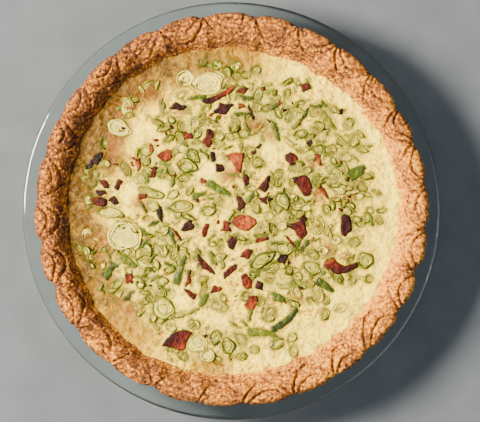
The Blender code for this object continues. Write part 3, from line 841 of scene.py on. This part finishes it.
# Small bacon bits, in millimetres and degrees: x, y, length, width, turn, tone
BACON_BITS = [
    (42.9, 71.6, 4.8, 4.2, 20, 0.42), (29.7, -27.2, 5, 4.6, 60, 0.2), (16.1, -43.2, 4.6, 4.4, 80, 0.2),
    (-7.2, 25.2, 4.6, 4.2, 0, 0.22), (-59, -38.4, 4.6, 4.2, 30, 0.66), (-44.9, 22.6, 6.8, 2.8, 70, 0.4),
    (-41.2, -2.1, 6.4, 4.4, -70, 0.12), (-8.9, -45.3, 4.6, 3.8, 0, 0.6), (8.9, -24.8, 6, 5, 60, 0.5),
    (8.4, 17.4, 5.8, 2.9, -80, 0.3), (-78, 30, 7.4, 5.2, 60, 0.05), (-82.2, 26, 3.6, 3.4, 0, 0.05),
    (-75, 10.6, 5.2, 3.6, 10, 0.14), (-67.9, 5.9, 5, 4.4, -40, 0.18), (-65.4, 15.2, 5.6, 2.8, 60, 0.36),
    (-73.4, 15.7, 5.4, 2.8, -65, 0.34), (-53.9, 26.7, 5.6, 3.2, -75, 0.7), (-46.5, 36, 4.6, 2.4, 80, 0.72),
    (-51.6, 8.2, 3.6, 3.2, 0, 0.55), (20, 6.5, 5.2, 4.6, 30, 0.26), (-15.3, -11.4, 8, 2.4, 75, 0.5),
    (-25, -38.9, 8, 2.4, 80, 0.5), (-25.6, 43.4, 5.2, 4.6, 0, 0.58), (5.5, 60.7, 3.6, 3.4, 0, 0.6),
    (6.6, 69.9, 4.8, 3.8, 40, 0.5), (11.2, 57.2, 8.2, 2.2, -70, 0.24), (-31.4, -13.7, 6.8, 2.2, -65, 0.46),
    (34.3, -17.7, 7.4, 1.9, -55, 0.56), (53.9, 10.5, 7.6, 2.6, -50, 0.66), (50.4, 29.6, 6.6, 3.2, -75, 0.72),
    (63.1, 57.2, 3.4, 1.7, 80, 0.1), (30.3, 58.3, 2.8, 2.2, 10, 0.14), (-30.8, 60.1, 7.6, 4.8, -15, 0.2),
    (-4.9, 58.9, 7.8, 6.6, 0, 0.26), (-14.7, -31.5, 10.5, 5.2, -35, 0.36), (-3.2, -8.8, 5.8, 6, 90, 0.6),
    (-62.5, 48.2, 2.2, 1.8, 0, 0.3), (15.6, 37.4, 3.2, 2, 60, 0.25), (13.2, 34, 2.6, 1.8, 10, 0.3),
    (45.5, 39.5, 3.2, 2.4, 30, 0.25), (-10.5, 31.5, 2.4, 6.4, 10, 0.1), (1.5, 14, 2, 1.6, 0, 0.6),
    (-16.5, 17, 2.6, 3, 0, 0.72), (40.5, -44.5, 2.6, 1.8, 0, 0.2), (17.5, -16.5, 6, 2.4, 15, 0.5),
]


def make_slab(name, x, y, length, width, turn, thickness):
    """A plain slab at its place, on the plane where the custard starts."""
    deselect()
    bpy.ops.mesh.primitive_cube_add(size=1)
    piece = bpy.context.object
    piece.name = name
    points = read_points(piece.data) * np.array([length, width, thickness])
    ends = points[:, 0] > 0
    points[ends, 1] *= rng.uniform(0.35, 0.95)
    points[:, 0] += np.sign(points[:, 1]) * rng.uniform(-0.24, 0.24) * length
    c, s = math.cos(turn), math.sin(turn)
    placed = np.stack([x + c * points[:, 0] - s * points[:, 1], y + s * points[:, 0] + c * points[:, 1]], 1)
    write_points(piece.data, np.column_stack([placed, points[:, 2]]))
    return piece


def make_bacon_bits(name, material, rows, voxel):
    pieces = []
    for x, y, length, width, turn, tone in rows:
        x, y, length, width, turn = x * MM, y * MM, length * MM, width * MM, math.radians(turn)
        piece = make_slab("bacon_bit", x, y, length, width, turn, BACON_CUT)
        points, middle = chop(piece, voxel, wobble=0.9 * MM, sink=rng.uniform(0.9, 1.3) * MM)
        cook(piece.data, points, middle, length, tone, 0.1, rng.uniform(0, 360))
        pieces.append(piece)
    return finish(join(name, pieces), material)


def make_ring(length, width, wall, height, lean, steps, sides, outer_skin, inner_skin):
    """One ring of an onion slice round the origin: oval, leaning, thicker on one side, green outside."""
    deselect()
    bpy.ops.mesh.primitive_torus_add(
        major_segments=steps, minor_segments=sides, major_radius=1, minor_radius=0.5, generate_uvs=False
    )
    piece = bpy.context.object
    points = read_points(piece.data)
    radius = np.hypot(points[:, 0], points[:, 1])
    turn = np.arctan2(points[:, 1], points[:, 0])
    outward = (radius - 1) * 2
    ripple = 1 + 0.06 * np.sin(3 * turn + rng.uniform(0, 6)) + 0.04 * np.sin(5 * turn + rng.uniform(0, 6))
    wall = wall * (1 + 0.45 * np.sin(turn + rng.uniform(0, 6)))
    pinch = np.abs(np.sin(turn)) ** (rng.uniform(0, 0.8) * (length > 1.3 * width))
    x = (length / 2 * ripple + (outward - 1) * wall / 2) * np.cos(turn)
    y = (width / 2 * ripple * pinch + (outward - 1) * wall / 2) * np.sin(turn)
    sag = 0.3 * MM * np.sin(turn * 2 + rng.uniform(0, 6)) * min(1, length / (9 * MM))
    z = points[:, 2] * height + lean[0] * x + lean[1] * y + sag
    write_points(piece.data, np.stack([x, y, z], 1))
    skin = inner_skin + (outer_skin - inner_skin) * smooth(0.5 + 0.5 * outward, 0.0, 0.35)
    paint(piece.data, "skin", skin * (1 + 0.8 * rough(points, 0.9, 2, rng.uniform(0, 50))))
    return piece


def make_slice(name, x, y, length, width, turn, green, layers, proud, lean_most, fine=True):
    """A whole onion slice: nested rings over a thin wet film, leaning in the custard."""
    lean = (rng.uniform(-lean_most, lean_most), rng.uniform(-lean_most, lean_most))
    wall = min(1.15 * MM, 0.14 * width + 0.2 * MM)
    rings = []
    for k in range(layers):
        share = 1 - k * 0.8 / layers
        skin = green * (0.6 if k else 1)
        steps, sides = (20 if k else 28, 8) if fine else (12 if k else 16, 4)
        thick = wall * (0.8 if k else 1.0)
        tall = (1.5 - 0.25 * k) * MM
        ring = make_ring(length * share, width * share, thick, tall, lean, steps, sides, skin, skin * 0.35)
        if k:
            points = read_points(ring.data)
            points[:, :2] += np.array([rng.uniform(-0.04, 0.04) * length, rng.uniform(-0.05, 0.05) * width])
            write_points(ring.data, points)
        rings.append(ring)
    deselect()
    segments, bands = (20, 8) if fine else (12, 4)
    bpy.ops.mesh.primitive_uv_sphere_add(segments=segments, ring_count=bands, radius=0.5)
    film = bpy.context.object
    points = read_points(film.data) * np.array([length * 0.94, width * 0.94, 1.0 * MM])
    points[:, 2] += lean[0] * points[:, 0] + lean[1] * points[:, 1] - 0.3 * MM
    write_points(film.data, points)
    paint(film.data, "skin", np.full(len(points), rng.uniform(0.12, 0.26) + 0.14 * green))
    rings.append(film)
    piece = join(name, rings)
    points = read_points(piece.data)
    c, s = math.cos(turn), math.sin(turn)
    at_x = x + c * points[:, 0] - s * points[:, 1]
    at_y = y + s * points[:, 0] + c * points[:, 1]
    at_z = points[:, 2] + custard_top(np.full(1, x), np.full(1, y))[0] + proud
    write_points(piece.data, np.stack([at_x, at_y, at_z], 1))
    return piece


# How each packed onion slice looks, in order: how green from 0 to 1, and how many layers
SLICE_LOOKS = [
    (0.2, 4), (0.3, 4), (0.6, 3), (0.25, 5), (0.7, 2), (0.75, 2), (0.85, 2),
    (0.85, 2), (0.6, 2), (0.75, 2), (0.9, 2), (0.6, 2), (0.65, 3), (0.7, 2),
]


def make_onion(material):
    for node, (green, layers) in numbered("onion_slice", SLICE_LOOKS):
        points = read_points(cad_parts[node].data)
        middle, length, width, turn = lie_of(points)
        piece = make_slice("soft_" + node, *middle, length, width, turn, green, layers, 0.25 * MM, 0.05)
        yield finish(piece, material, [node])


# Smaller onion slices, in millimetres and degrees: x, y, length, width, turn, green
SMALL_SLICES = [
    (-26.8, 76.7, 11, 9, 20, 0.2), (-19.3, -76.5, 11, 10, 0, 0.2), (-60.2, 60.1, 10, 7, 80, 0.35),
    (-9, -73, 9, 6.4, 75, 0.7), (-14.1, -83.5, 9, 8, 0, 0.35), (-22.2, 31.9, 10.5, 6.6, -50, 0.9),
    (-49.2, -29.8, 14, 8.6, -10, 0.5), (-80.4, -26.3, 7.4, 6.6, 60, 0.7), (22.8, -59.7, 9, 7.4, 70, 0.6),
    (53.9, -51, 7.4, 5.2, -60, 0.6), (53.9, -59.5, 7.4, 5.4, 80, 0.6), (37.7, -37.8, 7.2, 4.8, -15, 0.5),
    (15.3, 27.8, 7.4, 6.6, 0, 0.8), (40, 44.5, 8.4, 4.8, 10, 0.7), (75.2, 35.9, 8.4, 4.4, -20, 0.7),
    (64.8, 4.8, 6.6, 3.6, 80, 0.8), (-5.5, -55.7, 7.2, 6.4, 0, 0.5), (-39.5, 21.5, 6.4, 4.6, 60, 0.8),
    (-42.3, 50.9, 8.4, 3.8, -30, 0.8), (-20.4, 50.9, 6.6, 6, 0, 0.3), (6.6, 44.5, 6.4, 5.8, 0, 0.7),
    (-13.5, 0.2, 8.6, 5.6, 5, 0.6), (-70, -1, 15, 6, -10, 0.5), (70, -39.6, 7, 4.6, 70, 0.6),
    (-8.4, 84.3, 6.4, 5.6, 0, 0.6), (2.6, 83.7, 6.6, 5.8, 10, 0.6), (14.1, 81.4, 6.4, 5.6, 0, 0.7),
    (15, 66.5, 10.5, 5.4, 70, 0.6), (25, 63, 10, 5, 60, 0.7), (33, 55, 7.6, 5.6, 80, 0.5),
    (48, 57, 7, 5, 30, 0.5), (57, 35, 8, 6.4, 20, 0.5), (50, 35.5, 6.6, 5, -20, 0.7),
    (66, 31, 6.4, 5.4, 0, 0.4), (60, 21, 7.8, 6.6, 10, 0.4), (62.5, 12.5, 7.4, 6, 0, 0.45),
    (75, 14, 8, 6, -50, 0.8), (78, -3.5, 7, 5.4, 70, 0.6), (71, -18, 7.4, 5.6, 0, 0.5),
    (60, -17, 6.4, 5.4, 0, 0.3), (50, -10, 7.8, 6.2, 30, 0.35), (53, -23, 5.6, 4.8, 0, 0.15),
    (47, -25, 8.4, 5, -40, 0.7), (16, -52, 6.4, 5.2, 0, 0.4), (-7, -27, 7, 5.4, 20, 0.45),
    (-20, -26, 6.2, 4.6, 60, 0.6), (-33, -24, 10, 4.6, 75, 0.6), (-40, -17, 7.4, 5.8, 10, 0.35),
    (-34, 9.5, 7.6, 4.6, 30, 0.45), (-61, 24, 10, 4.6, -55, 0.7), (-84, 19, 6.6, 4.6, 0, 0.6),
    (-53, 18.5, 5.8, 5, 0, 0.3), (-66, -42, 8.2, 5, 40, 0.6), (-50, -47, 6.4, 3.4, -15, 0.8),
    (-29, 67, 6.6, 3.2, 20, 0.3), (-36, 42, 7, 4, 30, 0.8), (43, 2, 5.6, 4.6, 0, 0.3),
    (27, 21, 7.6, 5, 50, 0.6), (29, -9, 6.6, 4.6, 20, 0.3), (22, -3, 6.6, 4.6, -40, 0.35),
    (-21, -66, 6, 5, 0, 0.4), (6, -84, 7, 4.8, 10, 0.7), (13, -80, 6.2, 5, 0, 0.5),
    (-28, -84, 7.8, 5, -30, 0.75), (-35, -67, 6.8, 4.2, -30, 0.3), (35, -73, 6.4, 4.8, 40, 0.4),
    (63, -56, 8, 5.2, 20, 0.2),
]


def scatter(count, spread, sizes, slimness, shades, crowding):
    """Rows like the tables' for small pieces laid between the placed ones, most where onion lies thick."""
    made = []
    while len(made) < count:
        away, turn = spread * math.sqrt(rng.random()), rng.uniform(0, 2 * math.pi)
        x, y = away * math.cos(turn), away * math.sin(turn)
        size = rng.uniform(*sizes)
        wanted = 0.35 + 0.9 * gather(x, y, THICK) - 0.9 * gather(x, y, BARE)
        crowded = any(math.hypot(x - a, y - b) < crowding * (size + d) / 2 for a, b, d in taken)
        if rng.random() > wanted or crowded:
            continue
        taken.append((x, y, size))
        made.append((x, y, size, size * rng.uniform(*slimness), rng.uniform(0, 180), rng.uniform(*shades)))
    return made


def make_small_slices(name, material, rows, lean, fine):
    pieces = []
    for x, y, length, width, turn, green in rows:
        proud = rng.uniform(-0.5, 0.2) * MM
        layers = 3 if length > 8 else 2 if length > 6 else 1
        place = (x * MM, y * MM, length * MM, width * MM, math.radians(turn))
        pieces.append(make_slice("slice", *place, green, layers, proud, lean, fine))
    return finish(join(name, pieces), material)


# How green each packed strip is, in order
STRIP_GREENS = [0.72, 0.82, 0.95, 0.62, 0.86, 0.78, 0.7, 0.9]

# Smaller green shreds, in millimetres and degrees: x, y, length, width, turn, green
GREEN_SHREDS = [
    (-18.7, 9.4, 8, 4, 15, 0.8), (-34.5, -14.8, 9.4, 3.2, -70, 1), (17.6, -33.8, 11.5, 2, 20, 0.8),
    (10.7, -17.7, 11, 2, 5, 0.5), (42.3, -20, 8, 3.4, 60, 0.95), (27.4, -50, 7.2, 4.4, -10, 0.9),
    (-59, -48.8, 6, 3, 60, 1), (55, 53.2, 12, 2.6, -55, 0.6), (53.9, 61.2, 5, 2.6, -30, 0.85),
    (25.6, 46.2, 11, 2.6, -75, 0.85), (25.1, 60.7, 7, 2.4, 30, 0.9), (9.5, 65.1, 8, 3, -5, 0.95),
    (-78, 18, 7.2, 2.4, 80, 0.9), (-20, 65.3, 9.6, 2.4, 5, 0.85), (-15.8, -51.1, 7.4, 3.4, 70, 0.8),
    (36, -42, 5.6, 2.6, -30, 0.7), (14, -37.5, 5.6, 2.2, 30, 0.8), (-25, 22, 5.2, 2, -20, 0.7),
    (-33, 33.5, 4.4, 2.6, 40, 0.6), (9, 48, 5.6, 1.8, -60, 0.8), (61, 26.5, 4.2, 1.8, 30, 0.7),
    (47, 29.5, 5, 1.8, 20, 0.9), (39, 62, 6, 1.8, 50, 0.75), (-75.5, -44, 4.6, 2.2, 60, 0.6),
    (-44, -66, 5.2, 1.8, -60, 0.5), (2, -66, 5.6, 1.6, -30, 0.6),
]


def make_greens(material):
    for node, green in numbered("green_strip", STRIP_GREENS):
        piece = copy_of_node("soft_" + node, node)
        points, middle = chop(piece, voxel=0.32 * MM, wobble=0.6 * MM, sink=0.45 * MM)
        _, length, width, _ = lie_of(points)
        blotch = 0.12 * rough(points, 4 * MM, 2, 8.0)
        paint(piece.data, "skin", green - 0.12 + 0.15 * rim_of(points, middle, width) + blotch)
        yield finish(piece, material, [node])


def make_shreds(name, material, shreds, voxel):
    pieces = []
    for x, y, length, width, turn, green in shreds:
        piece = make_slab("shred", x * MM, y * MM, length * MM, width * MM, math.radians(turn), SHRED_CUT)
        points, middle = chop(piece, voxel, wobble=0.9 * MM, sink=0.6 * MM)
        paint(piece.data, "skin", green - 0.1 + 0.12 * rough(points, 4 * MM, 2, 8.0))
        pieces.append(piece)
    return finish(join(name, pieces), material)


def plan(pieces):
    """Where the points of some pieces lie in plan."""
    return np.concatenate([read_points(piece.data)[:, :2] for piece in pieces])


# ---- the set


def area_light(name, place, size, watts, colour):
    lamp = bpy.data.lights.new(name, "AREA")
    lamp.size = size
    lamp.energy = watts
    lamp.color = hex_to_linear(colour)[:3]
    made = bpy.data.objects.new(name, lamp)
    made.location = place
    made.rotation_euler = (Vector(LIGHT_AIM) - Vector(place)).to_track_quat("-Z", "Y").to_euler()
    bpy.context.scene.collection.objects.link(made)


def make_set():
    """A plain grey floor, soft light from the left, and a camera straight above."""
    deselect()
    bpy.ops.mesh.primitive_plane_add(size=6)
    floor = bpy.context.object
    floor.name = "floor"
    paper, tree, shader = new_material("pale_floor", Roughness=0.9)
    place = add(tree, "TexCoord").outputs["Object"]
    # Matt painted board, with a faint mottle about 25 mm across
    mottle = add(tree, "TexNoise", {"Vector": place, "Scale": 1 / (25 * MM), "Detail": 3})
    tone = add(tree, "ValToRGB", {"Fac": mottle}, stops=[(0.3, "#4C5359"), (0.7, "#545B61")])
    tree.links.new(tone.outputs["Color"], shader.inputs["Base Color"])
    floor.data.materials.append(paper)
    floor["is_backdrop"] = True

    world = bpy.data.worlds.new("soft_room")
    world.use_nodes = True
    sky = world.node_tree.nodes["Background"].inputs
    sky["Color"].default_value = hex_to_linear(ROOM_COLOUR)
    sky["Strength"].default_value = ROOM_STRENGTH
    bpy.context.scene.world = world
    area_light("window", *WINDOW)
    area_light("bounce", *BOUNCE)

    # The dish nearly fills the height of the view.
    eye = bpy.data.cameras.new("camera")
    eye.sensor_width = SENSOR
    eye.lens = SENSOR * VIEW_HEIGHT / VIEW_WIDTH
    camera = bpy.data.objects.new("camera", eye)
    camera.location = (VIEW_SHIFT, 0, DISH_HEIGHT + VIEW_HEIGHT)
    bpy.context.scene.collection.objects.link(camera)
    bpy.context.scene.camera = camera


glass, pastry, custard = clear_glass(), baked_pastry(), set_custard()
bacon, onion = fried_bacon(), sliced_onion()

MARKS, HABITS, DIPS, RIDGES = make_stamps()
make_dish(glass)
make_pastry(pastry)

# Where something lies already and how long it is, in mm
taken = [(x, y, d) for x, y, d, *_ in SMALL_SLICES + BACON_BITS + GREEN_SHREDS]
for kind, looks in (("bacon", BACON_TONES), ("onion_slice", SLICE_LOOKS), ("green_strip", STRIP_GREENS)):
    for node, _ in numbered(kind, looks):
        centre, long_side, _, _ = lie_of(read_points(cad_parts[node].data))
        taken.append((centre[0] / MM, centre[1] / MM, long_side / MM))
more_slices = scatter(RING_COUNT, RINGS_REACH, (4.6, 10.0), (0.36, 0.85), (0.3, 0.95), 0.44)
more_shreds = scatter(SLIVER_COUNT, SLIVERS_REACH, (3.0, 8.0), (0.16, 0.4), (0.4, 1.0), 0.36)
more_bits = scatter(CRUMB_COUNT, CRUMBS_REACH, (1.2, 2.8), (0.5, 0.9), (0.2, 0.8), 0.42)

meat = list(make_bacon(bacon)) + [make_bacon_bits("small_bacon_bits", bacon, BACON_BITS, 0.4 * MM)]
make_bacon_bits("bacon_crumbs", bacon, more_bits, 0.6 * MM)
leaves = list(make_onion(onion)) + list(make_greens(onion))
leaves.append(make_small_slices("small_onion_slices", onion, SMALL_SLICES, lean=0.15, fine=True))
leaves.append(make_small_slices("onion_rings", onion, more_slices, lean=0.35, fine=False))
leaves.append(make_shreds("green_shreds", onion, GREEN_SHREDS, 0.35 * MM))
leaves.append(make_shreds("green_crumbs", onion, more_shreds, 0.55 * MM))
make_custard(custard, plan(meat), plan(leaves))
make_set()

[[list(corner) for corner in box] for box in (cad_box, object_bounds())]
